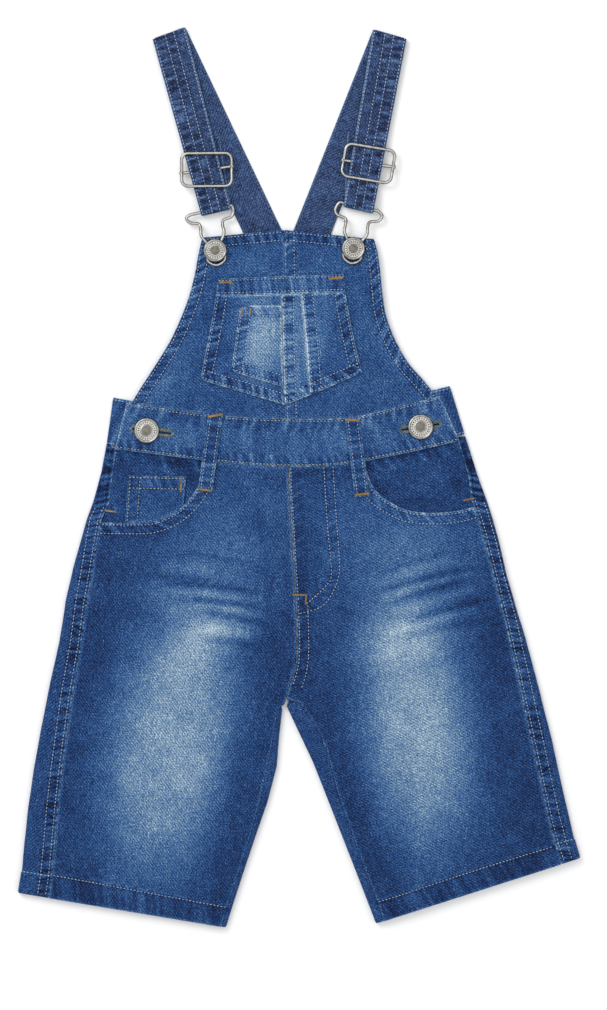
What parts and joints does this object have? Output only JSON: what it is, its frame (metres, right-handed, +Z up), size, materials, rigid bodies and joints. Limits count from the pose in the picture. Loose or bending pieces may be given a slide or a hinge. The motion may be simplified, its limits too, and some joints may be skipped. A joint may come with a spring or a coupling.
{
  "type": "shortalls",
  "caption": "Child's denim bib shortalls laid flat and face up: short legs, waistband, bib with a patch pocket, and shoulder straps on wire sliders and hooks.",
  "frame": {"origin": "middle of the bounding box at the surface the shortalls lie on", "axes": "+Y from the leg hems to the shoulders, +Z up out of the garment's front, +X to the right of someone looking down at the front"},
  "size_m": [0.3648, 0.5857, 0.0098],
  "materials": {
    "denim_front": "washed blue twill, faded on the thighs",
    "denim_faded": "strongly washed blue twill",
    "denim_back": "washed blue twill",
    "denim_strap": "washed blue twill, stitched in four rows",
    "nickel": "antique nickel"
  },
  "bodies": {
    "root": {"back_leg_left": "denim_back", "back_leg_right": "denim_back", "back_waistband": "denim_back", "back_bib": "denim_back", "front_leg_left": "denim_front", "front_leg_right": "denim_front", "pocket_facing_left": "denim_front", "pocket_facing_right": "denim_front", "coin_pocket": "denim_front", "front_waistband": "denim_front", "bib_left": "denim_front", "bib_right": "denim_front", "bib_pocket_left": "denim_faded", "bib_pocket_centre": "denim_faded", "bib_pocket_right": "denim_faded", "bib_pocket_band": "denim_front", "small_pocket": "denim_faded", "belt_loop_left": "denim_front", "belt_loop_right": "denim_front", "strap_left": "denim_strap", "strap_right": "denim_strap", "slider_left": "nickel", "slider_right": "nickel", "hook_left": "nickel", "hook_right": "nickel", "shoulder_button_left": "nickel", "shoulder_button_right": "nickel", "side_button_left": "nickel", "side_button_right": "nickel"}
  },
  "joints": []
}
